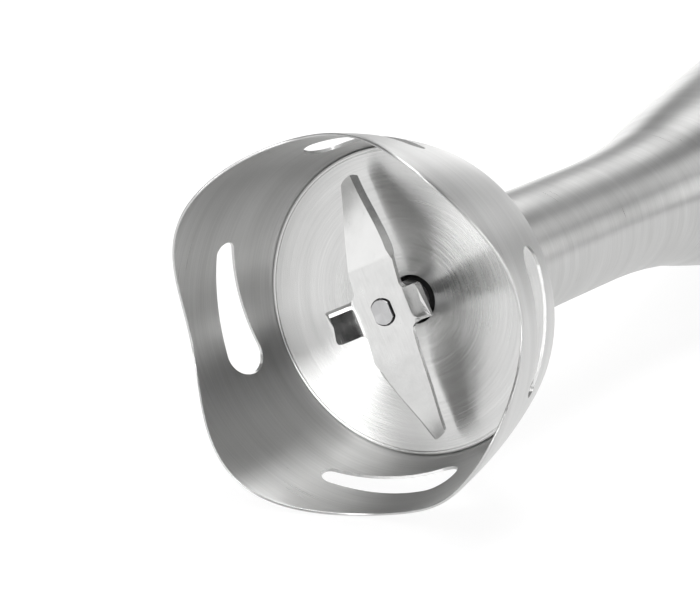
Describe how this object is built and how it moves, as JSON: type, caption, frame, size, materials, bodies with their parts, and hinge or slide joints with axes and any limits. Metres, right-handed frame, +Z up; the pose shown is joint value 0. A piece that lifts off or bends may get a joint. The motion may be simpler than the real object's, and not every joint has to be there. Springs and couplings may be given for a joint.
{
  "type": "immersion blender",
  "caption": "Hand-held immersion blender with a scalloped slotted steel bell, winged blade, flared stem that unplugs, motor handle with push buttons and speed dial.",
  "frame": {"origin": "middle of the length, on the table under the shaft axis, with the blender lying on its back grip", "axes": "+X along the shaft from the bell towards the handle's top end, +Z up with the buttons on top"},
  "size_m": [0.414, 0.0644, 0.0645],
  "materials": {
    "steel_brushed": "brushed stainless steel, grain round the turned faces",
    "steel_blade": "ground stainless steel with honed bevels",
    "steel_machined": "machined steel",
    "spring_wire": "drawn spring wire",
    "rubber_black": "matt black rubber",
    "grip_soft": "soft-touch elastomer",
    "plastic_dark": "satin dark plastic",
    "plastic_grey": "satin grey plastic",
    "plastic_inner": "plain moulded plastic",
    "plastic_electrical": "plain moulded plastic",
    "bronze_sintered": "sintered bronze, oiled",
    "iron_lamination": "stacked steel laminations",
    "copper_wound": "enamelled copper",
    "brass_sheet": "folded brass sheet",
    "carbon_block": "pressed carbon",
    "aluminium_cast": "die-cast aluminium",
    "board_laminate": "glass-fibre laminate"
  },
  "bodies": {
    "handle": {"motor_collar": "plastic_dark", "spigot_ring": "rubber_black", "housing_front": "plastic_dark", "housing_back": "plastic_dark", "back_grip": "grip_soft", "top_cap": "plastic_dark", "cord_gland": "rubber_black", "potentiometer": "aluminium_cast", "circuit_board": "board_laminate", "capacitor": "plastic_electrical", "on_microswitch": "plastic_electrical", "turbo_microswitch": "plastic_electrical", "on_button_spring": "spring_wire", "turbo_button_spring": "spring_wire", "release_spring_left": "spring_wire", "release_spring_right": "spring_wire", "front_bracket": "aluminium_cast", "rear_bracket": "aluminium_cast", "front_bearing": "steel_machined", "rear_bearing": "steel_machined", "stator": "iron_lamination", "field_coil_upper": "copper_wound", "field_coil_lower": "copper_wound", "brush_holder_left": "brass_sheet", "brush_holder_right": "brass_sheet", "brush_left": "carbon_block", "brush_right": "carbon_block", "motor_screw_left": "steel_machined", "motor_screw_right": "steel_machined"},
    "rotor": {"motor_shaft": "steel_machined", "motor_coupling": "plastic_inner", "fan": "plastic_inner", "armature": "iron_lamination", "commutator": "copper_wound"},
    "foot": {"bell": "steel_brushed", "bell_floor": "steel_brushed", "shaft_seal": "rubber_black", "lower_bush": "bronze_sintered", "stem_tube": "steel_brushed", "stem_liner": "plastic_inner", "foot_collar": "plastic_inner", "upper_bush": "bronze_sintered"},
    "blade_drive": {"drive_shaft": "steel_machined", "blade": "steel_blade", "blade_spacer": "steel_machined", "shaft_clip": "steel_machined", "foot_coupling": "plastic_inner"},
    "on_key": {"on_button": "plastic_grey"},
    "turbo_key": {"turbo_button": "plastic_grey"},
    "left_key": {"release_button_left": "plastic_grey"},
    "right_key": {"release_button_right": "plastic_grey"},
    "dial": {"speed_dial": "plastic_grey"}
  },
  "joints": [
    {"name": "foot_release", "type": "slide", "parent": "handle", "child": "foot", "axis": [-1, 0, 0], "range_m": [0, 0.04]},
    {"name": "motor_spin", "type": "hinge", "parent": "handle", "child": "rotor", "pos_m": [0.07002, 0, 0.03225], "axis": [1, 0, 0], "continuous": true},
    {"name": "blade_spin", "type": "hinge", "parent": "foot", "child": "blade_drive", "pos_m": [-0.17998, 0, 0.03225], "axis": [1, 0, 0], "continuous": true},
    {"name": "on_press", "type": "slide", "parent": "handle", "child": "on_key", "axis": [0, 0, -1], "range_m": [0, 0.0025], "stiffness_N_per_m": 500, "springref_m": -0.002, "deforming": ["on_button_spring"]},
    {"name": "turbo_press", "type": "slide", "parent": "handle", "child": "turbo_key", "axis": [0, 0, -1], "range_m": [0, 0.0025], "stiffness_N_per_m": 500, "springref_m": -0.002, "deforming": ["turbo_button_spring"]},
    {"name": "left_release_press", "type": "slide", "parent": "handle", "child": "left_key", "axis": [0, -1, 0], "range_m": [0, 0.002], "stiffness_N_per_m": 600, "springref_m": -0.0015, "deforming": ["release_spring_left"]},
    {"name": "right_release_press", "type": "slide", "parent": "handle", "child": "right_key", "axis": [0, 1, 0], "range_m": [0, 0.002], "stiffness_N_per_m": 600, "springref_m": -0.0015, "deforming": ["release_spring_right"]},
    {"name": "speed_turn", "type": "hinge", "parent": "handle", "child": "dial", "pos_m": [0.20302, 0, 0.04025], "axis": [1, 0, 0], "range_deg": [-140, 140]}
  ],
  "couplings": [
    {"joint": "blade_spin", "follows": "motor_spin", "ratio": 1}
  ]
}
